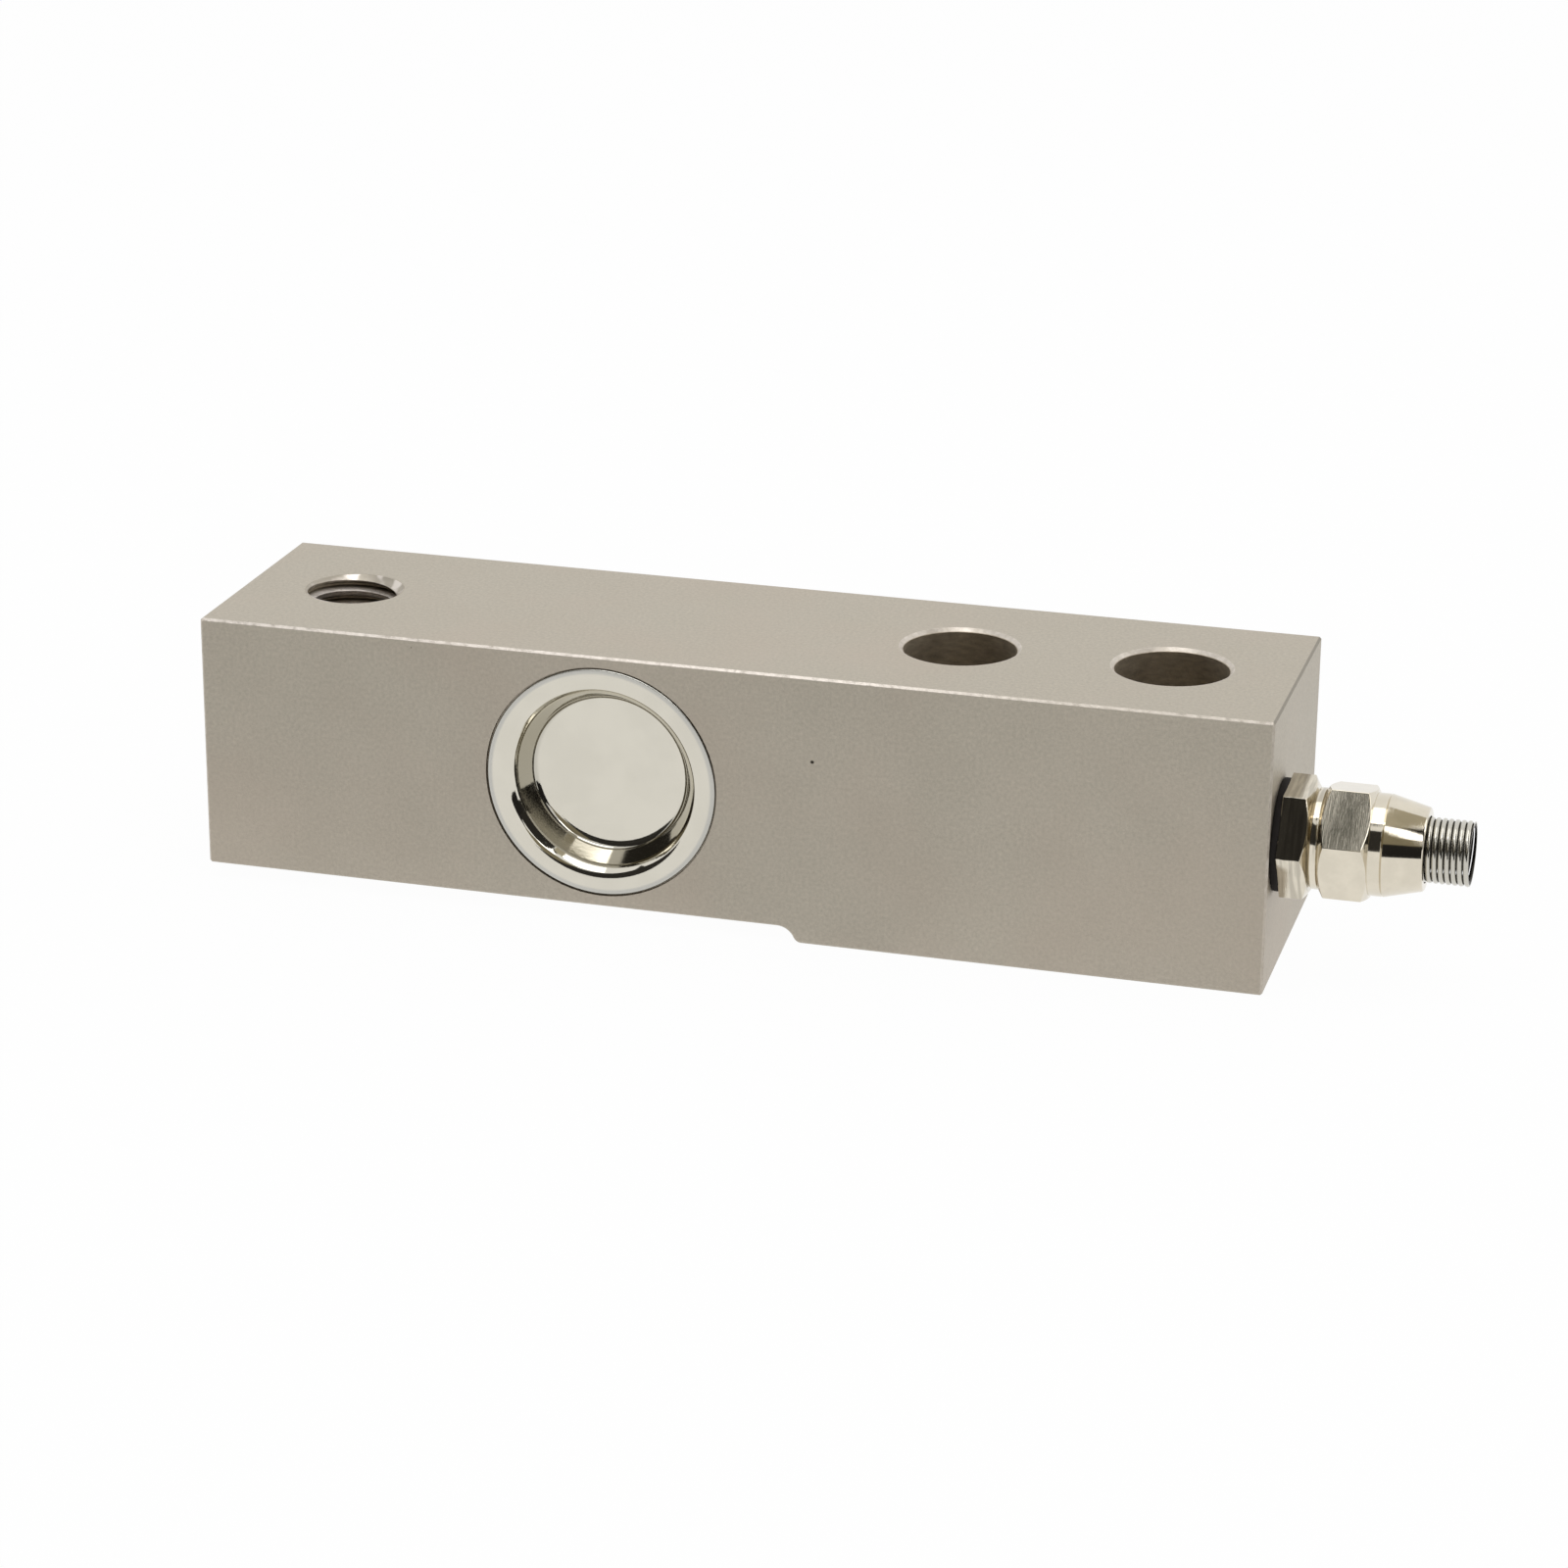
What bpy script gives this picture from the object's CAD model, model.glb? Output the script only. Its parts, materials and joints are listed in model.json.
import json
import math

import bmesh
import bpy
from bpy.props import FloatProperty, FloatVectorProperty, PointerProperty
from mathutils import Matrix, Vector


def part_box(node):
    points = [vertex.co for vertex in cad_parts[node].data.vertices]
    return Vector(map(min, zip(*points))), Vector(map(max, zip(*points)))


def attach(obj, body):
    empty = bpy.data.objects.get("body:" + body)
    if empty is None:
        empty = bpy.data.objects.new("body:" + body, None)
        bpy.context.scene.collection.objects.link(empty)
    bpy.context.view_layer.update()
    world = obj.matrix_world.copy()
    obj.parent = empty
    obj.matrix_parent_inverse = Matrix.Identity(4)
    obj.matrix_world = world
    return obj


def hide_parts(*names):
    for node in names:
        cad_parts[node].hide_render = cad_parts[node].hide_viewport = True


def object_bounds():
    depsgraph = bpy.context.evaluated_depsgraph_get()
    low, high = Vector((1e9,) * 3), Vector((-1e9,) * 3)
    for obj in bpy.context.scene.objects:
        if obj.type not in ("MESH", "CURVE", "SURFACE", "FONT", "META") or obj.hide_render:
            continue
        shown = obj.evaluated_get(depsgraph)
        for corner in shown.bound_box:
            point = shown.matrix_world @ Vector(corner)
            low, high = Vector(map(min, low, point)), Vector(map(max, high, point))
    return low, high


bl_info = {
    "name": "Shear Beam Load Cell",
    "version": (1, 0, 0),
    "blender": (4, 5, 0),
    "location": "View3D > Sidebar > Load Cell",
    "description": "Dresses the load cell's solids: finishes, thread, cups, gland and spring",
    "category": "Object",
}

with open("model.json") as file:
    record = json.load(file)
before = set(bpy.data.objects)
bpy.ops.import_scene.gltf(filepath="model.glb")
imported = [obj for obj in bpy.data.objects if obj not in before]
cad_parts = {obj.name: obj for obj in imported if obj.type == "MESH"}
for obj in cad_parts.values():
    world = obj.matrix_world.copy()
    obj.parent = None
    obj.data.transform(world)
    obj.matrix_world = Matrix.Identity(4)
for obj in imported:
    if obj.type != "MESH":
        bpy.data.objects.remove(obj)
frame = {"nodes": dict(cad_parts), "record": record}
cad_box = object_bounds()

# Places read from the solids, in metres. +X runs along the beam to the gland, -Y is the front.
beam_low, beam_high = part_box("beam_body")
cup_low, cup_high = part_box("front_cup")
seal_low, seal_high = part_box("gland_seal_ring")
body_low, body_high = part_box("gland_body")
nut_low, nut_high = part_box("gland_nut")
spring_low, spring_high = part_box("spring_guard")
grommet_low, grommet_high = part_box("gland_grommet")
cup_x = (cup_low.x + cup_high.x) / 2
cup_z = (cup_low.z + cup_high.z) / 2
flange_radius = (cup_high.x - cup_low.x) / 2
gland_y = (seal_low.y + seal_high.y) / 2
gland_z = (seal_low.z + seal_high.z) / 2
gland_centre = Vector((0, gland_y, gland_z))
spring_radius = (spring_high.z - spring_low.z) / 2

mm = 0.001
X, Y, Z = Vector((1, 0, 0)), Vector((0, 1, 0)), Vector((0, 0, 1))

# Steps in one turn of each round piece.
thread_steps, spring_steps, cup_steps, seal_steps, gland_steps = 64, 64, 144, 96, 120
wire_sides = 14
weld_distance = 1e-7

# Radial gaps round the pieces inside the gland.
grommet_gap, spring_gap, nose_gap = 0.00005, 0.0001, 0.00005

# A pinhole and a faint speck on the beam's front face: X, Z, radius and strength.
marks = ((-0.0262, 0.0229, 0.00021, 0.95), (-0.0755, 0.0321, 0.0001, 0.5))
mark_colour = (0.03, 0.025, 0.02)


def length(name, description, millimetres):
    return FloatProperty(
        name=name, description=description, unit="LENGTH", precision=5, min=0,
        default=millimetres * mm,
    )


def colour(name, description, value):
    return FloatVectorProperty(
        name=name, description=description, subtype="COLOR", size=3, min=0, max=1, default=value
    )


def turn(name, description, degrees):
    return FloatProperty(
        name=name, description=description, subtype="ANGLE", default=math.radians(degrees)
    )


class BeamSettings(bpy.types.PropertyGroup):
    nickel: colour("Blasted nickel", "Plating on the bead-blasted faces", (0.490, 0.447, 0.373))
    bare_edge: colour("Worn edge", "Plating burnished on edges and chamfers", (0.78, 0.72, 0.66))
    bore: colour("Bore", "Drilled walls of the mounting holes", (0.36, 0.31, 0.24))
    hole_radius: length("Mounting hole radius", "Bore of each mounting hole", 6.75)
    hole_chamfer: length("Mounting hole chamfer", "Chamfer round each mounting hole", 0.45)
    hole_spacing: length("Hole spacing", "Between the two mounting holes", 25.4)
    load_distance: length("Load distance", "Load hole to the origin", 88.9)
    relief: length("Relief", "Underside of the free arm above the mounting pad", 1.9)
    thread_radius: length("Thread radius", "Major radius of the load thread", 6.0)
    thread_depth: length("Thread depth", "Height of a ridge of the load thread", 0.95)
    thread_pitch: length("Thread pitch", "From one turn of the load thread to the next", 1.75)
    thread_start: length("Thread start", "Moves the turns of the load thread up", 0.66)
    thread_land: length("Thread land", "Height that the countersink leaves of the ridges", 0.12)
    grain: length("Grain", "Size of the blasted grain", 0.42)


class CupSettings(bpy.types.PropertyGroup):
    sheet: length("Sheet", "Thickness of the pressed sheet", 0.6)
    lip_start: length("Lip start", "Radius where the flat flange ends", 11.75)
    mouth: length("Mouth", "Radius at the foot of the sloping lip", 10.85)
    lip_depth: length("Lip depth", "Depth of the sloping lip", 1.0)
    foot: length("Foot", "Radius at the foot of the sloping wall", 9.45)
    lip_bend: length("Lip bend", "Bend from the flange into the lip", 1.1)
    wall_bend: length("Wall bend", "Bend from the lip into the wall", 2.6)
    floor_bend: length("Floor bend", "Bend between wall and floor", 1.3)
    nickel: colour("Cup nickel", "Plating of the pressed cup", (0.65, 0.62, 0.54))


class GlandSettings(bpy.types.PropertyGroup):
    flats: length("Across flats", "Both hexagons, across flats", 12.6)
    body_turn: turn("Body turn", "First corner of the body's hexagon above the horizontal", 57)
    nut_turn: turn("Nut turn", "First corner of the nut's hexagon above the horizontal", 12)
    body_hex: length("Body hexagon", "Length of the body's hexagon", 3.3)
    nut_hex: length("Nut hexagon", "Length of the nut's hexagon", 5.6)
    collar_radius: length("Collar radius", "Collar between the hexagons", 5.9)
    thread_radius: length("Thread radius", "Male thread in the beam", 4.95)
    nose_radius: length("Nose radius", "Nose inside the nut", 5.05)
    cable_bore: length("Cable bore", "Bore of the body", 3.2)
    passage: length("Nut passage", "Bore of the nut's shoulder", 3.1)
    shank_radius: length("Shank radius", "Plain shank of the nut", 5.95)
    shank: length("Shank length", "Plain shank of the nut", 1.6)
    mouth_radius: length("Mouth radius", "Small end of the nut's taper", 4.83)
    nickel: colour("Bright nickel", "Plating of the gland", (0.70, 0.645, 0.535))
    rubber: colour("Rubber", "Seal ring and grommet", (0.015, 0.013, 0.012))


class SpringSettings(bpy.types.PropertyGroup):
    pitch: length("Pitch", "From one coil to the next", 0.72)
    wire_radius: length("Wire radius", "Round spring wire", 0.32)
    steel: colour("Spring steel", "Bright spring wire", (0.58, 0.56, 0.50))


class StageSettings(bpy.types.PropertyGroup):
    azimuth: turn("Azimuth", "Camera round the object, from the front", 15.5888)
    elevation: turn("Elevation", "Camera above the horizon", 20.1271)
    roll: turn("Roll", "Camera about its own axis", 0.4787)
    distance: length("Distance", "Camera to the point it looks at", 524.5643)
    lens: FloatProperty(
        name="Lens", description="Focal length on a 36 mm sensor, in millimetres", default=99.717
    )
    background: colour("Background", "Floor and backdrop", (1.0, 1.0, 1.0))


# ------------------------------------------------------------------ materials

class Wire:
    """A socket of a node tree. Arithmetic on it adds the Math nodes that do the sum."""

    def __init__(self, sheet, socket):
        self.sheet = sheet
        self.socket = socket

    def maths(self, operation, first, second=0.0, clamp=False):
        settings = {"operation": operation, "use_clamp": clamp}
        return self.sheet.node("Math", settings, {0: first, 1: second})

    def __add__(self, other):
        return self.maths("ADD", self, other)

    def __radd__(self, other):
        return self.maths("ADD", other, self)

    def __sub__(self, other):
        return self.maths("SUBTRACT", self, other)

    def __rsub__(self, other):
        return self.maths("SUBTRACT", other, self)

    def __mul__(self, other):
        return self.maths("MULTIPLY", self, other)

    def __rmul__(self, other):
        return self.maths("MULTIPLY", other, self)

    def __pow__(self, other):
        return self.maths("POWER", self, other)

    def clamped(self):
        """The same, with what is below 0 or above 1 cut off."""
        return self.maths("ADD", self, 0.0, clamp=True)

    def rise(self, low, high):
        """0 below low, 1 above high, smooth between."""
        settings = {"interpolation_type": "SMOOTHSTEP"}
        inputs = {"Value": self, "From Min": low, "From Max": high}
        return self.sheet.node("MapRange", settings, inputs)

    def fall(self, low, high):
        """1 below low, 0 above high, smooth between."""
        return 1 - self.rise(low, high)


class Sheet:
    """A node tree being filled in."""

    def __init__(self, tree):
        self.tree = tree
        tree.nodes.clear()

    def node(self, kind, settings=None, inputs=None, output=0):
        """Add any node: its type, its settings, then the values or links of its sockets."""
        node = self.tree.nodes.new("ShaderNode" + kind)
        for name, value in (settings or {}).items():
            setattr(node, name, value)
        for name, value in (inputs or {}).items():
            if isinstance(value, Wire):
                self.tree.links.new(value.socket, node.inputs[name])
            else:
                node.inputs[name].default_value = value
        return Wire(self, node.outputs[output]) if node.outputs else None

    def position(self):
        """The object-space position."""
        return self.node("TexCoord", output="Object")

    def axes(self, position):
        """The X, Y and Z of a position."""
        return [self.node("SeparateXYZ", None, {0: position}, axis) for axis in range(3)]

    def noise(self, vector, size, detail=3.0, roughness=0.55, stretch=(1, 1, 1)):
        """Noise from 0 to 1 with patches of that size, in metres, stretched along the axes."""
        if stretch != (1, 1, 1):
            settings = {"operation": "DIVIDE"}
            vector = self.node("VectorMath", settings, {0: vector, 1: stretch})
        inputs = {"Vector": vector, "Scale": 1 / size, "Detail": detail, "Roughness": roughness}
        return self.node("TexNoise", None, inputs)

    def mix(self, factor, first, second):
        """Blend two colours."""
        settings = {"data_type": "RGBA", "clamp_factor": True}
        return self.node("Mix", settings, {0: factor, 6: rgba(first), 7: rgba(second)}, 2)

    def radius(self, first, second):
        """Distance from an axis, from two offsets square to it."""
        return (first * first + second * second) ** 0.5


def rgba(value):
    return value if isinstance(value, Wire) or len(value) == 4 else (*value, 1.0)


def shade(colour, factor):
    return tuple(min(1.0, channel * factor) for channel in colour)


def new_finish(name):
    material = bpy.data.materials.new(name)
    material.use_nodes = True
    return material, Sheet(material.node_tree)


def close_finish(sheet, inputs, height=None, depth=0.0):
    """Join the shader to the output, with a bump of that depth in metres if there is a height."""
    if height is not None:
        bump = {"Strength": 1.0, "Distance": depth, "Height": height}
        inputs["Normal"] = sheet.node("Bump", None, bump)
    shader = sheet.node("BsdfPrincipled", None, inputs)
    sheet.node("OutputMaterial", None, {"Surface": shader})


def seen_as_background(sheet):
    """1 for rays that show the background as it is, straight, mirrored or through glass."""
    kinds = ("Camera", "Glossy", "Transmission")
    straight, mirrored, through = [
        sheet.node("LightPath", output="Is " + kind + " Ray") for kind in kinds
    ]
    return (straight + mirrored + through).clamped()


def blasted_nickel(settings):
    """Bead-blasted plating with worn edges, drilled walls in the holes and two small marks."""
    material, sheet = new_finish("nickel_blasted")
    position = sheet.position()
    x, y, z = sheet.axes(position)
    grain = sheet.noise(position, settings.grain, detail=4.0, roughness=0.65)
    fine = sheet.noise(position, settings.grain / 3, detail=2.0, roughness=0.6)
    cloud = sheet.noise(position, 0.022, detail=3.0, roughness=0.5)
    haze = sheet.noise(position, 0.009, detail=2.0, roughness=0.5)
    ragged = sheet.noise(position, 0.0011, detail=4.0, roughness=0.7)
    nicks = sheet.noise(position, 0.0035, detail=3.0, roughness=0.6)
    drill = sheet.noise(position, 0.0016, detail=4.0, roughness=0.65, stretch=(1, 1, 0.35))

    # Chamfered edges, rubbed bright in places. Near an edge, the distances to the two faces that
    # meet there add up to almost nothing.
    to_front = y - beam_low.y
    to_back = beam_high.y - y
    to_top = beam_high.z - z
    to_cable_end = beam_high.x - x
    to_load_end = x - beam_low.x
    reach = 0.00019 + (ragged - 0.5) * 0.0002
    blur = 0.00012
    front_top = (to_front + to_top - reach - 0.00004).fall(0.0, 0.00010)
    broken = 0.30 + nicks.rise(0.26, 0.36) * 0.50
    fading = 0.5 + x.fall(-0.03, 0.01) * 0.5
    back_top = (to_back + to_top - reach).fall(0.0, blur)
    cable_upright = (to_front + to_cable_end - reach).fall(0.0, blur)
    load_upright = (to_front + to_load_end - reach).fall(0.0, blur)
    edges = front_top * broken * fading + back_top * 0.6
    edges = (edges + cable_upright * 0.45 + load_upright * 0.5).clamped()

    # Walls of the three upright holes, and chamfers of the two plain ones.
    half = settings.hole_spacing / 2
    plain = [sheet.radius(x - centre, y) for centre in (-half, half)]
    threaded = sheet.radius(x + settings.load_distance, y)
    radii = (settings.hole_radius, settings.hole_radius, settings.thread_radius)
    walls = sum(
        away.fall(radius + 0.00002, radius + 0.00008)
        for away, radius in zip((*plain, threaded), radii)
    ).clamped()
    rim = settings.hole_radius + settings.hole_chamfer
    chamfers = sum(away.fall(rim, rim + 0.0001) for away in plain)
    bright = (edges + chamfers * (0.45 + (ragged - 0.5) * 1.4)).clamped()

    # Under what is rubbed bright, the top chamfers of the front and the cable end are dark.
    chamfer_width = (0.00024, 0.00027)
    front_chamfer = (to_front + to_top).fall(*chamfer_width) * (1 - bright)
    end_chamfer = (to_cable_end + to_top).fall(*chamfer_width)

    base = sheet.mix(
        (0.5 + (grain - 0.5) * 1.5 + (fine - 0.5) * 0.5).clamped(),
        shade(settings.nickel, 0.82), shade(settings.nickel, 1.16),
    )
    warm = tuple(channel * tint for channel, tint in zip(settings.nickel, (1.06, 0.99, 0.98)))
    base = sheet.mix(cloud.rise(0.35, 0.7) * 0.35, base, warm)
    dark = (front_chamfer + end_chamfer).clamped() * 0.85
    base = sheet.mix(dark, base, shade(settings.nickel, 0.42))
    base = sheet.mix(bright, base, settings.bare_edge)
    drilled = sheet.mix(drill, shade(settings.bore, 0.55), shade(settings.bore, 1.8))
    base = sheet.mix(walls, base, drilled)
    for mark_x, mark_z, radius, strength in marks:
        away = sheet.radius(x - mark_x, z - mark_z) + (ragged - 0.5) * 0.00015
        mask = away.fall(radius * 0.7, radius * 1.3) * to_front.fall(0.0005, 0.001) * strength
        base = sheet.mix(mask, base, mark_colour)
    rough = 0.50 + (haze - 0.5) * 0.08 - bright * 0.12 + walls * 0.12
    inputs = {"Base Color": base, "Metallic": 1.0, "Roughness": rough}
    close_finish(sheet, inputs, grain * 0.7 + fine * 0.3, depth=0.00004)
    return material


def cut_thread(settings):
    """Plated thread flanks: bright on the crests, grimy towards the roots, with blasted mouths."""
    material, sheet = new_finish("cut_thread")
    position = sheet.position()
    x, y, z = sheet.axes(position)
    away = sheet.radius(x + settings.load_distance, y)
    crest = away.fall(
        settings.thread_radius - settings.thread_depth * 0.6,
        settings.thread_radius - settings.thread_depth * 0.1,
    )
    torn = sheet.noise(position, 0.0006, detail=3.0, roughness=0.6, stretch=(1, 1, 0.4))
    sink = (beam_high.z - z).fall(0.00075, 0.00095)
    rubbed = sheet.noise(position, 0.0030, detail=2.0, roughness=0.5).rise(0.50, 0.62) * sink
    base = sheet.mix(crest, shade(settings.bore, 0.5), settings.bare_edge)
    base = sheet.mix(torn.rise(0.45, 0.75) * 0.4, base, shade(settings.bore, 0.7))
    base = sheet.mix(sink * 0.9, base, shade(settings.nickel, 0.92))
    base = sheet.mix(rubbed * 0.8, base, settings.bare_edge)
    rough = 0.34 + (torn - 0.5) * 0.2 + sink * 0.16 - rubbed * 0.14
    inputs = {"Base Color": base, "Metallic": 1.0, "Roughness": rough}
    close_finish(sheet, inputs, torn, depth=0.00002)
    return material


def cup_nickel(settings):
    """Even plating, darker on the drawn wall and dull round the flange's rim."""
    material, sheet = new_finish("cup_nickel")
    position = sheet.position()
    x, y, z = sheet.axes(position)
    away = sheet.radius(x - cup_x, z - cup_z)
    faces = {0: y - beam_low.y, 1: beam_high.y - y}
    in_from_face = sheet.node("Math", {"operation": "MINIMUM"}, faces)
    drawn = away.rise(settings.foot - 0.0004, settings.foot)
    drawn = drawn * away.fall(settings.lip_start, settings.lip_start + 0.0004)
    rim = away.rise(flange_radius - 0.00075, flange_radius - 0.0004)
    haze = sheet.noise(position, 0.007, detail=2.0, roughness=0.5)
    cloud = sheet.noise(position, 0.0022, detail=3.0, roughness=0.5)
    fine = sheet.noise(position, 0.0003, detail=2.0, roughness=0.5)
    base = sheet.mix(
        (haze * 0.7 + cloud * 0.3).rise(0.35, 0.65),
        shade(settings.nickel, 0.975), shade(settings.nickel, 1.03),
    )
    wall = drawn * in_from_face.rise(0.0008, 0.0014)
    base = sheet.mix(wall, base, shade(settings.nickel, 0.80))
    base = sheet.mix(rim * 0.5, base, (0.42, 0.43, 0.43))
    rough = 0.11 - drawn * 0.05 + (haze - 0.5) * 0.03 + rim * 0.16
    inputs = {"Base Color": base, "Metallic": 1.0, "Roughness": rough}
    close_finish(sheet, inputs, fine, depth=0.000003)
    return material


def bright_nickel(settings):
    """Polished plating with turning marks, and milled streaks on the body's hexagon."""
    material, sheet = new_finish("bright_nickel")
    position = sheet.position()
    on_body = sheet.axes(position)[0].fall(nut_low.x - 0.0005, nut_low.x)
    turned = sheet.noise(position, 0.0004, detail=3.0, roughness=0.6, stretch=(0.35, 6, 6))
    smudge = sheet.noise(position, 0.0022, detail=3.0, roughness=0.55)
    milled = sheet.noise(position, 0.0006, detail=2.0, roughness=0.5, stretch=(1, 14, 14))
    base = sheet.mix(
        smudge.rise(0.3, 0.75), shade(settings.nickel, 0.95), shade(settings.nickel, 1.04)
    )
    streaks = milled.rise(0.42, 0.6) * on_body * 0.75
    base = sheet.mix(streaks, base, shade(settings.nickel, 0.62))
    rough = 0.085 + (smudge - 0.5) * 0.06 + (turned - 0.5) * 0.05
    inputs = {"Base Color": base, "Metallic": 1.0, "Roughness": rough}
    close_finish(sheet, inputs, turned, depth=0.000004)
    return material


def spring_steel(settings):
    """Bright drawn wire, grimy between the coils."""
    material, sheet = new_finish("spring_steel")
    position = sheet.position()
    _, y, z = sheet.axes(position)
    drawn = sheet.noise(position, 0.0003, detail=2.0, roughness=0.5)
    away = sheet.radius(y - gland_y, z - gland_z)
    grime = away.fall(spring_radius - 0.00036, spring_radius - 0.00010)
    base = sheet.mix(drawn, shade(settings.steel, 0.92), shade(settings.steel, 1.05))
    base = sheet.mix(grime * 0.92, base, (0.035, 0.031, 0.025))
    rough = 0.18 + (drawn - 0.5) * 0.08 + grime * 0.3
    close_finish(sheet, {"Base Color": base, "Metallic": 1.0, "Roughness": rough})
    return material


def black_rubber(settings):
    """Dull rubber with a faint bloom."""
    material, sheet = new_finish("black_rubber")
    bloom = sheet.noise(sheet.position(), 0.0012, detail=3.0, roughness=0.6)
    base = sheet.mix(bloom, shade(settings.rubber, 0.7), shade(settings.rubber, 1.6))
    rough = 0.7 + (bloom - 0.5) * 0.2
    inputs = {"Base Color": base, "Metallic": 0.0, "Roughness": rough, "Specular IOR Level": 0.12}
    close_finish(sheet, inputs, bloom, depth=0.00001)
    return material


def inner_finish(name, dark, light, metallic, rough, size):
    """A plain finish with a little variation, for a piece that is hidden behind the cups."""
    material, sheet = new_finish(name)
    patch = sheet.noise(sheet.position(), size, detail=3.0, roughness=0.6)
    base = sheet.mix(patch.rise(0.3, 0.7), dark, light)
    inputs = {"Base Color": base, "Metallic": metallic, "Roughness": rough + (patch - 0.5) * 0.1}
    close_finish(sheet, inputs, patch, depth=size * 0.02)
    return material


def repaint(node, material):
    """Give the solids of a CAD node a finish of their own."""
    materials = frame["nodes"][node].data.materials
    materials.clear()
    materials.append(material)


# ------------------------------------------------------------------ shapes

def new_object(name, bm, material):
    """Turn a bmesh into an object of the scene, with one finish."""
    mesh = bpy.data.meshes.new(name)
    bm.to_mesh(mesh)
    bm.free()
    mesh.materials.append(material)
    item = bpy.data.objects.new(name, mesh)
    bpy.context.scene.collection.objects.link(item)
    return item


def add_piece(name, bm, material, nodes=(), crease=28):
    """Turn a bmesh into a piece of the load cell that stands for the CAD nodes named.

    An edge that bends by more than crease, in degrees, stays sharp.
    """
    for edge in bm.edges:
        sharp = len(edge.link_faces) == 2 and edge.calc_face_angle(0) > math.radians(crease)
        edge.smooth = not sharp
    for face in bm.faces:
        face.smooth = True
    piece = new_object(name, bm, material)
    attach(piece, "root")
    if nodes:
        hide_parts(*nodes)


def outline(corners, centre, axis, rounds):
    """A closed outline of (distance along the axis, radius) corners.

    rounds says which corners are rounded, each with a radius and a number of segments.
    """
    side = X if axis == Z else Z
    bm = bmesh.new()
    verts = [bm.verts.new(centre + axis * along + side * radius) for along, radius in corners]
    for vert, following in zip(verts, verts[1:] + verts[:1]):
        bm.edges.new((vert, following))
    for index, (radius, segments) in rounds.items():
        vert = verts[index]
        ways = [(edge.other_vert(vert).co - vert.co).normalized() for edge in vert.link_edges]
        setback = radius / math.tan(ways[0].angle(ways[1]) / 2)
        bmesh.ops.bevel(
            bm, geom=[vert], offset=setback, offset_type="OFFSET", affect="VERTICES",
            segments=segments, profile=0.5, material=-1,
        )
    return bm


def spun(bm, centre, axis, steps):
    """Spin an outline once round an axis."""
    bmesh.ops.spin(
        bm, geom=bm.verts[:] + bm.edges[:], cent=centre, axis=axis, angle=math.tau,
        steps=steps, use_merge=True,
    )
    bmesh.ops.remove_doubles(bm, verts=bm.verts, dist=weld_distance)
    bmesh.ops.recalc_face_normals(bm, faces=bm.faces)
    return bm


def cut_and_fill(bm, place, normal):
    """Cut off what lies beyond a plane and close the cut."""
    cut = bmesh.ops.bisect_plane(
        bm, geom=bm.verts[:] + bm.edges[:] + bm.faces[:], dist=1e-8,
        plane_co=place, plane_no=normal, clear_outer=True,
    )
    edges = [item for item in cut["geom_cut"] if isinstance(item, bmesh.types.BMEdge)]
    bmesh.ops.holes_fill(bm, edges=edges, sides=0)


def coil(section, centre, axis, pitch, turns, steps):
    """Sweep a closed section along a helix."""
    bm = bmesh.new()
    side = X if axis == Z else Z
    verts = [bm.verts.new(centre + axis * along + side * radius) for along, radius in section]
    start = bm.faces.new(verts)
    bmesh.ops.spin(
        bm, geom=[start], cent=centre, axis=axis, dvec=axis * (pitch / steps),
        angle=math.tau * turns, steps=round(steps * turns),
    )
    bmesh.ops.recalc_face_normals(bm, faces=bm.faces)
    return bm


def flats(bm, across, first_corner, low, high):
    """Mill six flats on a turned bar along the gland's axis, between low and high on X.

    The edges of the flats are broken.
    """
    sliver = 0.00002
    least_flat = 0.000008
    broken_edge = 0.00007
    slack = 0.0001
    for index in range(6):
        angle = first_corner + math.radians(30 + 60 * index)
        normal = -Y * math.cos(angle) + Z * math.sin(angle)
        cut_and_fill(bm, gland_centre + normal * across / 2, normal)
    bmesh.ops.remove_doubles(bm, verts=bm.verts, dist=sliver)
    rims = [
        edge for edge in bm.edges
        if len(edge.link_faces) == 2 and edge.calc_face_angle(0) > math.radians(20)
        and all(low - slack < vert.co.x < high + slack for vert in edge.verts)
        and any(face.calc_area() > least_flat for face in edge.link_faces)
    ]
    bmesh.ops.bevel(
        bm, geom=rims, offset=broken_edge, offset_type="OFFSET", affect="EDGES",
        segments=2, profile=0.5, material=-1,
    )


def gland_turning(corners, rounds, steps=gland_steps):
    """Turn a piece about the gland's axis."""
    return spun(outline(corners, gland_centre, X, rounds), gland_centre, X, steps)


# ------------------------------------------------------------------ pieces

class LOADCELL_OT_beam(bpy.types.Operator):
    """Give the beam its blasted plating, with its curved walls shaded smooth"""

    bl_idname = "loadcell.beam"
    bl_label = "Beam"

    def execute(self, context):
        settings = context.scene.load_cell_beam
        bm = bmesh.new()
        bm.from_mesh(frame["nodes"]["beam_body"].data)
        bmesh.ops.remove_doubles(bm, verts=bm.verts, dist=weld_distance)
        add_piece("beam", bm, blasted_nickel(settings), ["beam_body"])
        return {"FINISHED"}


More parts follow.
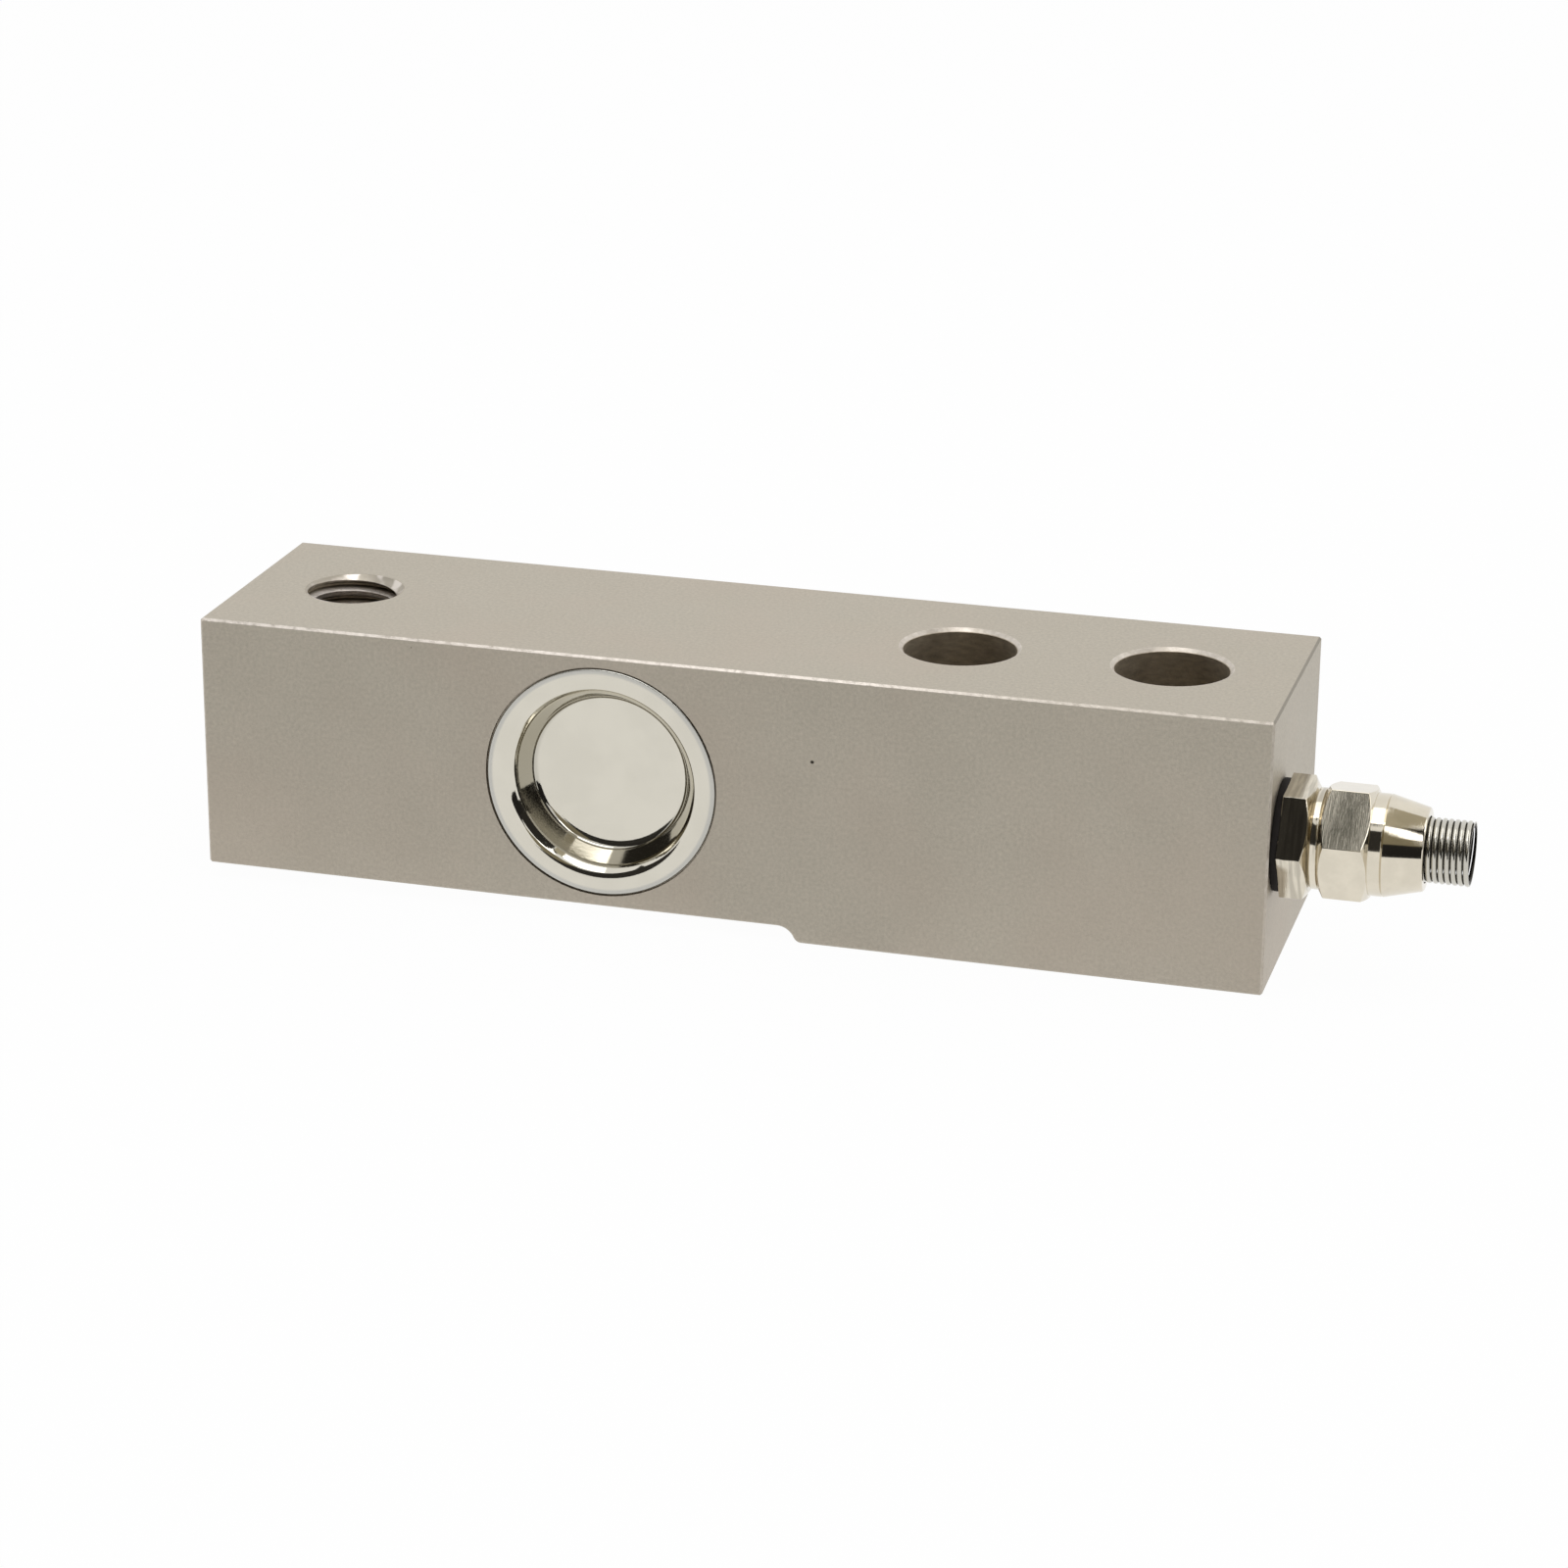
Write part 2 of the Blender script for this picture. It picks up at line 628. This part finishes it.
class LOADCELL_OT_thread(bpy.types.Operator):
    """Cut the thread of the load hole, countersunk at both mouths"""

    bl_idname = "loadcell.thread"
    bl_label = "Load thread"

    def execute(self, context):
        settings = context.scene.load_cell_beam
        under = beam_low.z + settings.relief
        major = settings.thread_radius
        depth = settings.thread_depth
        pitch = settings.thread_pitch
        centre = Vector((-settings.load_distance, 0, under - pitch + settings.thread_start))
        foot, crest = pitch * 7 / 16, pitch / 8
        section = [
            (-foot, major), (-crest, major - depth), (crest, major - depth), (foot, major),
        ]
        spare_turns = 2
        turns = (beam_high.z - under) / pitch + spare_turns
        bm = coil(section, centre, Z, pitch, turns, thread_steps)
        cut_and_fill(bm, Vector((0, 0, beam_high.z)), Z)
        cut_and_fill(bm, Vector((0, 0, under)), -Z)

        # Countersinks at 45 degrees, which leave a low land of the ridges at both mouths.
        for vert in bm.verts:
            away = Vector((vert.co.x - centre.x, vert.co.y, 0))
            least = major - settings.thread_land - min(beam_high.z - vert.co.z, vert.co.z - under)
            if away.length < least:
                vert.co += away.normalized() * (least - away.length)
        bmesh.ops.recalc_face_normals(bm, faces=bm.faces)
        add_piece("load_thread", bm, cut_thread(settings))
        return {"FINISHED"}


class LOADCELL_OT_cups(bpy.types.Operator):
    """Press the two sealing cups, with a rolled lip and a bent floor"""

    bl_idname = "loadcell.cups"
    bl_label = "Sealing cups"

    def execute(self, context):
        settings = context.scene.load_cell_cup
        material = cup_nickel(settings)
        depth = cup_high.y - cup_low.y
        sheet = settings.sheet
        floor = depth - sheet
        rim_land = 0.0004
        rim_round = 0.00018
        corners = [
            (0, flange_radius),
            (0, flange_radius - rim_land),
            (0, settings.lip_start + settings.lip_bend * 0.55),
            (0, settings.lip_start),
            (settings.lip_depth, settings.mouth),
            (floor, settings.foot),
            (floor, settings.foot - settings.floor_bend * 0.75),
            (floor, 0),
            (depth, 0),
            (depth, settings.foot + sheet * 0.6),
            (settings.lip_depth + sheet, settings.mouth + sheet * 0.8),
            (sheet, settings.lip_start + sheet * 0.5),
            (sheet, flange_radius),
        ]
        rounds = {
            0: (rim_round, 3),
            3: (settings.lip_bend, 12),
            4: (settings.wall_bend, 8),
            5: (settings.floor_bend, 14),
        }
        for name, side in (("front_cup", 1), ("rear_cup", -1)):
            centre = Vector((cup_x, beam_low.y * side, cup_z))
            bm = outline(corners, centre, Y * side, rounds)
            spun(bm, centre, Y, cup_steps)
            add_piece(name + "_pressing", bm, material, [name])
        return {"FINISHED"}


class LOADCELL_OT_gland(bpy.types.Operator):
    """Turn and mill the cable gland: seal ring, body, grommet and nut"""

    bl_idname = "loadcell.gland"
    bl_label = "Cable gland"

    def execute(self, context):
        settings = context.scene.load_cell_gland
        nickel = bright_nickel(settings)
        rubber = black_rubber(settings)
        self.make_seal(settings, rubber)
        self.make_body(settings, nickel)
        self.make_nut(settings, nickel)
        repaint("gland_grommet", rubber)
        return {"FINISHED"}

    def make_seal(self, settings, material):
        outer = (seal_high.z - seal_low.z) / 2
        rounded = (0.0002, 3)
        corners = [
            (seal_low.x, settings.thread_radius), (seal_low.x, outer),
            (seal_high.x, outer), (seal_high.x, settings.thread_radius),
        ]
        bm = gland_turning(corners, {1: rounded, 2: rounded}, seal_steps)
        add_piece("seal_ring", bm, material, ["gland_seal_ring"])

    def hexagon_bar(self, settings, start, end, at_start, at_end):
        """Corners of a bar for a hexagon, its ends chamfered at 30 degrees.

        The bar is a little wider than the hexagon's corners, and each chamfer starts a little
        inside its flats.
        """
        slope = math.radians(30)
        outer = settings.flats / 2 / math.cos(slope) + 0.0002
        face = settings.flats / 2 - 0.00015
        cone = (outer - face) * math.tan(slope)
        corners = [(start, face), (start + cone, outer)] if at_start else [(start, outer)]
        return corners + ([(end - cone, outer), (end, face)] if at_end else [(end, outer)])

    def make_body(self, settings, material):
        hex_start = seal_high.x
        hex_end = hex_start + settings.body_hex
        collar = settings.collar_radius
        bevel = 0.0003
        rounded = (0.00015, 3)
        seat = (grommet_high.z - grommet_low.z) / 2 + grommet_gap
        corners = [
            (body_low.x, settings.cable_bore),
            (body_low.x, settings.thread_radius),
            (hex_start, settings.thread_radius),
            *self.hexagon_bar(settings, hex_start, hex_end, False, True),
            (hex_end, collar - bevel),
            (hex_end + bevel, collar),
            (nut_low.x - bevel, collar),
            (nut_low.x, collar - bevel),
            (nut_low.x, settings.nose_radius),
            (body_high.x, settings.nose_radius),
            (body_high.x, seat),
            (grommet_low.x, seat),
            (grommet_low.x, settings.cable_bore),
        ]
        bm = gland_turning(corners, {7: rounded, 8: rounded})
        flats(bm, settings.flats, settings.body_turn, hex_start, hex_end)
        add_piece("body_turning", bm, material, ["gland_body"], crease=14)

    def make_nut(self, settings, material):
        hex_end = nut_low.x + settings.nut_hex
        taper = hex_end + settings.shank
        mouth = nut_high.x
        bore = spring_radius + spring_gap
        clear_nose = settings.nose_radius + nose_gap
        groove = 0.00012
        corners = [
            (nut_low.x, clear_nose),
            *self.hexagon_bar(settings, nut_low.x, hex_end, True, True),
            (hex_end, settings.shank_radius),
            (taper - groove * 2, settings.shank_radius),
            (taper - groove, settings.shank_radius - groove),
            (taper, settings.shank_radius),
            (mouth, settings.mouth_radius),
            (mouth, bore),
            (spring_low.x, bore),
            (spring_low.x, settings.passage),
            (grommet_high.x, settings.passage),
            (grommet_high.x, clear_nose),
        ]
        bm = gland_turning(corners, {9: (0.0003, 5)})
        flats(bm, settings.flats, settings.nut_turn, nut_low.x, hex_end)
        add_piece("nut_turning", bm, material, ["gland_nut"], crease=14)


class LOADCELL_OT_spring(bpy.types.Operator):
    """Wind the spring guard from round wire, with its ends ground flat"""

    bl_idname = "loadcell.spring"
    bl_label = "Spring guard"

    def execute(self, context):
        settings = context.scene.load_cell_spring
        wire = settings.wire_radius
        middle = spring_radius - wire
        angles = [math.tau * side / wire_sides for side in range(wire_sides)]
        section = [(math.sin(angle) * wire, middle + math.cos(angle) * wire) for angle in angles]
        centre = Vector((spring_low.x - settings.pitch, gland_y, gland_z))
        spare_turns = 2
        turns = (spring_high.x - spring_low.x) / settings.pitch + spare_turns
        bm = coil(section, centre, X, settings.pitch, turns, spring_steps)
        cut_and_fill(bm, spring_high, X)
        cut_and_fill(bm, spring_low, -X)
        add_piece("spring_coil", bm, spring_steel(settings), ["spring_guard"])
        return {"FINISHED"}


class LOADCELL_OT_inner(bpy.types.Operator):
    """Finish the pieces behind the cups: gauges, boards, ribbons and resistors"""

    bl_idname = "loadcell.inner"
    bl_label = "Inner pieces"

    def execute(self, context):
        # The dark and the light colour, how metallic, how rough, and the size of a patch.
        finishes = {
            "polyimide_film": ((0.30, 0.13, 0.02), (0.48, 0.23, 0.05), 0.0, 0.28, 0.002),
            "gauge_foil": ((0.48, 0.42, 0.33), (0.66, 0.60, 0.50), 1.0, 0.35, 0.0006),
            "sealing_compound": ((0.62, 0.62, 0.57), (0.80, 0.80, 0.76), 0.0, 0.42, 0.003),
            "board_laminate": ((0.02, 0.085, 0.035), (0.04, 0.13, 0.05), 0.0, 0.45, 0.0008),
            "tinned_pads": ((0.58, 0.58, 0.57), (0.76, 0.76, 0.74), 1.0, 0.30, 0.0009),
            "resistor_body": ((0.10, 0.07, 0.04), (0.18, 0.13, 0.08), 0.0, 0.50, 0.0007),
        }
        made = {name: inner_finish(name, *values) for name, values in finishes.items()}
        for part in frame["record"]["subparts"]:
            if part["material_slot"] in made:
                repaint(part["node"], made[part["material_slot"]])
        return {"FINISHED"}


class LOADCELL_OT_stage(bpy.types.Operator):
    """Set up the floor, soft lights, world and camera"""

    bl_idname = "loadcell.stage"
    bl_label = "Stage"

    def execute(self, context):
        settings = context.scene.load_cell_stage
        self.make_world(context, settings)
        self.make_floor(settings)
        self.make_screens(context.scene.load_cell_gland)
        self.make_lamps()
        self.make_camera(context, settings)
        return {"FINISHED"}

    def make_world(self, context, settings):
        world = bpy.data.worlds.new("studio")
        context.scene.world = world
        world.use_nodes = True
        sheet = Sheet(world.node_tree)
        grey = (0.62, 0.62, 0.62)
        room = sheet.mix(seen_as_background(sheet), grey, settings.background)
        light = sheet.node("Background", None, {"Color": room, "Strength": 1.0})
        sheet.node("OutputWorld", None, {"Surface": light})

    def make_floor(self, settings):
        reach = 6.0
        gap = 0.00005
        bm = bmesh.new()
        bmesh.ops.create_grid(bm, x_segments=1, y_segments=1, size=reach)
        bmesh.ops.translate(bm, verts=bm.verts, vec=(0, 0, beam_low.z - gap))
        material, sheet = new_finish("pale_floor")
        shown = seen_as_background(sheet) * 0.97
        paint = sheet.node("BsdfDiffuse", None, {"Color": rgba((0.86, 0.86, 0.85))})
        glow = sheet.node("Emission", None, {"Color": rgba(settings.background), "Strength": 1.0})
        both = sheet.node("MixShader", None, {0: shown, 1: paint, 2: glow})
        sheet.node("OutputMaterial", None, {"Surface": both})
        self.add_stage("floor", bm, material)

    def make_screens(self, gland):
        """Screens all round, one above the gland's end, and a small one close to the nut."""
        middle = (cad_box[0] + cad_box[1]) / 2
        facing = gland.nut_turn + math.radians(30)
        nut_flat = Vector((nut_low.x + gland.nut_hex / 2, gland_y, gland_z))
        nut_flat += (-Y * math.cos(facing) + Z * math.sin(facing)) * gland.flats / 2
        self.make_screen(
            "dark_screen", middle, azimuth=-32, elevation=28, distance=1.3,
            size=(2.1, 1.15), tone=(0.034, 0.032, 0.029),
        )
        self.make_screen(
            "tan_screen", middle, azimuth=21, elevation=33, distance=1.25,
            size=(0.66, 0.90), tone=(0.25, 0.22, 0.15),
        )
        self.make_screen(
            "top_screen", Vector((0.36, 0.03, 0)), azimuth=0, elevation=90, distance=0.92,
            size=(0.20, 0.86), tone=(0.46, 0.42, 0.32),
        )
        self.make_screen(
            "right_screen", middle, azimuth=72, elevation=33, distance=1.3,
            size=(0.78, 1.36), tone=(0.030, 0.028, 0.025),
        )
        self.make_screen(
            "low_screen", middle, azimuth=48, elevation=6, distance=0.19,
            size=(0.15, 0.072), tone=(0.020, 0.019, 0.018),
        )
        self.make_screen(
            "nut_screen", nut_flat, azimuth=-15.7, elevation=62.3, distance=0.1,
            size=(0.0078, 0.0125), tone=(0.085, 0.088, 0.078),
        )

    def make_lamps(self):
        self.make_lamp(
            "top_softbox", place=Vector((0.05, 0.0, 0.95)), size=(0.90, 0.62),
            aim=-Z, watts=1.85,
        )
        self.make_lamp(
            "front_strip", place=Vector((-0.06, -0.355, 0.95)), size=(0.68, 0.09),
            aim=-Z, watts=0.75,
        )
        self.make_lamp(
            "right_strip", place=Vector((0.44, -0.51, 0.70)), size=(0.16, 0.34),
            aim=Vector((-0.44, 0.51, -0.70)), watts=0.40,
        )
        self.make_lamp(
            "end_softbox", place=Vector((0.90, 0.30, 0.45)), size=(0.5, 0.5),
            aim=Vector((-0.90, -0.30, -0.45)), watts=0.9,
        )

    def make_screen(self, name, target, azimuth, elevation, distance, size, tone):
        """A screen of one tone, facing the target, that only reflections show."""
        swing = Matrix.Rotation(math.radians(azimuth), 4, Z)
        tilt = Matrix.Rotation(math.radians(-elevation), 4, X)
        upright = Matrix.Rotation(math.radians(90), 3, X)
        bm = bmesh.new()
        bmesh.ops.create_grid(bm, x_segments=1, y_segments=1, size=0.5)
        bmesh.ops.scale(bm, verts=bm.verts, vec=(*size, 1))
        bmesh.ops.rotate(bm, verts=bm.verts, matrix=upright)
        bmesh.ops.translate(bm, verts=bm.verts, vec=-Y * distance)
        place = Matrix.Translation(target) @ (swing @ tilt)
        bmesh.ops.transform(bm, verts=bm.verts, matrix=place)
        material, sheet = new_finish(name)
        paint = sheet.node("Emission", None, {"Color": rgba(tone), "Strength": 1.0})
        sheet.node("OutputMaterial", None, {"Surface": paint})
        screen = self.add_stage(name, bm, material)
        screen.visible_camera = False
        screen.visible_diffuse = False
        screen.visible_shadow = False

    def add_stage(self, name, bm, material):
        piece = new_object(name, bm, material)
        return piece

    def make_lamp(self, name, place, size, aim, watts):
        """A rectangular soft light."""
        light = bpy.data.lights.new(name, "AREA")
        light.shape = "RECTANGLE"
        light.size, light.size_y = size
        light.energy = watts
        lamp = bpy.data.objects.new(name, light)
        bpy.context.scene.collection.objects.link(lamp)
        lamp.location = place
        lamp.rotation_euler = (-aim).to_track_quat("Z", "Y").to_euler()
        lamp.visible_camera = False

    def make_camera(self, context, settings):
        azimuth, elevation, roll = settings.azimuth, settings.elevation, settings.roll
        back = Vector((
            math.sin(azimuth) * math.cos(elevation),
            -math.cos(azimuth) * math.cos(elevation),
            math.sin(elevation),
        ))
        level = Vector((math.cos(azimuth), math.sin(azimuth), 0))
        right = level * math.cos(roll) + back.cross(level) * math.sin(roll)
        camera = bpy.data.cameras.new("camera")
        camera.lens = settings.lens
        camera.clip_start = 0.01
        view = bpy.data.objects.new("camera", camera)
        context.scene.collection.objects.link(view)
        target = Vector((-0.034152, 0, 0.0136013))
        facing = Matrix((right, back.cross(right), back)).transposed().to_4x4()
        view.matrix_world = Matrix.Translation(target + back * settings.distance) @ facing
        context.scene.camera = view
        context.scene.view_settings.view_transform = "Standard"


class LOADCELL_PT_panel(bpy.types.Panel):
    """Lists the operators and their settings in the sidebar"""

    bl_idname = "LOADCELL_PT_panel"
    bl_label = "Load Cell"
    bl_space_type = "VIEW_3D"
    bl_region_type = "UI"
    bl_category = "Load Cell"

    def draw(self, context):
        for title, operators, group in sections:
            box = self.layout.box()
            box.label(text=title)
            for operator in operators:
                box.operator(operator.bl_idname)
            if group:
                settings = getattr(context.scene, group)
                for name in settings.__annotations__:
                    box.prop(settings, name)


sections = (
    ("Beam", (LOADCELL_OT_beam, LOADCELL_OT_thread), "load_cell_beam"),
    ("Sealing cups", (LOADCELL_OT_cups,), "load_cell_cup"),
    ("Cable gland", (LOADCELL_OT_gland,), "load_cell_gland"),
    ("Spring guard", (LOADCELL_OT_spring,), "load_cell_spring"),
    ("Inner pieces", (LOADCELL_OT_inner,), None),
    ("Stage", (LOADCELL_OT_stage,), "load_cell_stage"),
)
groups = {
    "load_cell_beam": BeamSettings,
    "load_cell_cup": CupSettings,
    "load_cell_gland": GlandSettings,
    "load_cell_spring": SpringSettings,
    "load_cell_stage": StageSettings,
}
operators = [operator for _, members, _ in sections for operator in members]


def register():
    for group in groups.values():
        bpy.utils.register_class(group)
    for name, group in groups.items():
        setattr(bpy.types.Scene, name, PointerProperty(type=group))
    for item in (*operators, LOADCELL_PT_panel):
        bpy.utils.register_class(item)


def unregister():
    for item in (LOADCELL_PT_panel, *reversed(operators)):
        bpy.utils.unregister_class(item)
    for name, group in groups.items():
        delattr(bpy.types.Scene, name)
        bpy.utils.unregister_class(group)


def main():
    register()
    for operator in operators:
        area, name = operator.bl_idname.split(".")
        getattr(getattr(bpy.ops, area), name)()


if __name__ == "__main__":
    main()
